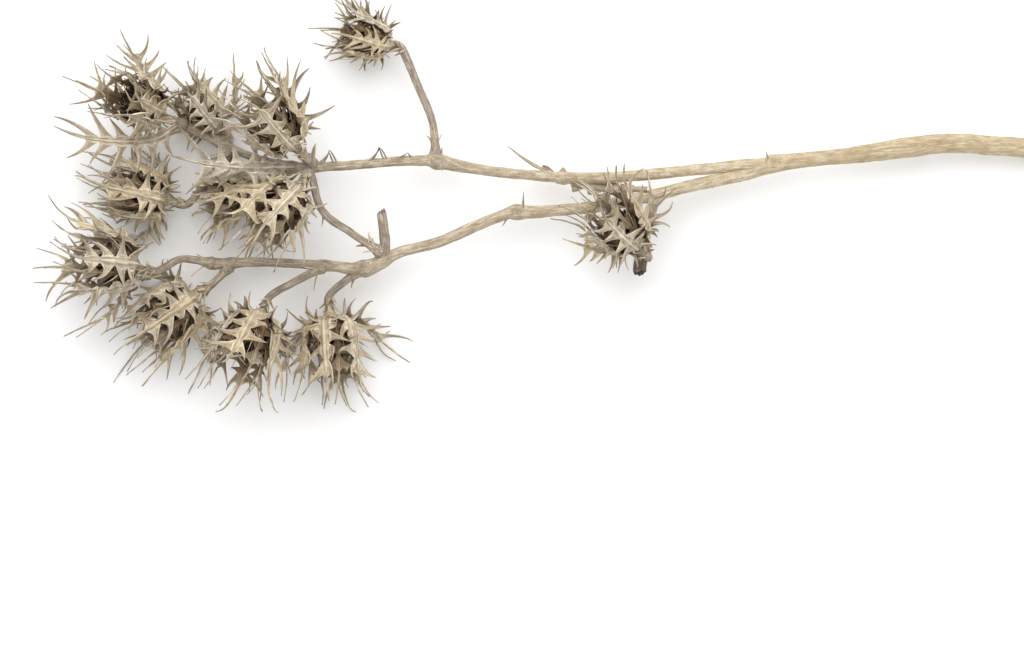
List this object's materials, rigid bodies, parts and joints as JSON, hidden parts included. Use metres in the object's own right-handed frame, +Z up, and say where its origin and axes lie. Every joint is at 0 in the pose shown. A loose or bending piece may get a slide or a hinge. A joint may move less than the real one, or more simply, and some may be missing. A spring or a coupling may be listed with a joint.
{
  "type": "dried sea holly flower",
  "caption": "Dried cut sea holly stem, forked, with silvery spiny bracts cupped round dark seed heads, lying on its side.",
  "frame": {"origin": "middle of the foot of the whole stem's box, on the surface that it lies on", "axes": "+X along the stem, from the flower heads to the cut end; +Z up; +Y to the left when looking from the heads to the cut end"},
  "size_m": [0.3776, 0.1266, 0.0494],
  "materials": {
    "stem": "matte",
    "bracts": "matte",
    "leaf": "matte",
    "seed_head": "matte"
  },
  "bodies": {
    "root": {"stem": "stem", "bracts_01": "bracts", "bracts_02": "bracts", "bracts_03": "bracts", "bracts_04": "bracts", "bracts_05": "bracts", "bracts_06": "bracts", "bracts_07": "bracts", "bracts_08": "bracts", "bracts_09": "bracts", "bracts_10": "bracts", "bracts_11": "bracts", "bracts_12": "bracts", "seed_head_01": "seed_head", "seed_head_02": "seed_head", "seed_head_03": "seed_head", "seed_head_04": "seed_head", "seed_head_05": "seed_head", "seed_head_06": "seed_head", "seed_head_07": "seed_head", "seed_head_08": "seed_head", "seed_head_09": "seed_head", "seed_head_10": "seed_head", "seed_head_11": "seed_head", "seed_head_12": "seed_head", "leaf_1": "leaf", "leaf_2": "leaf", "leaf_3": "leaf"}
  },
  "joints": []
}
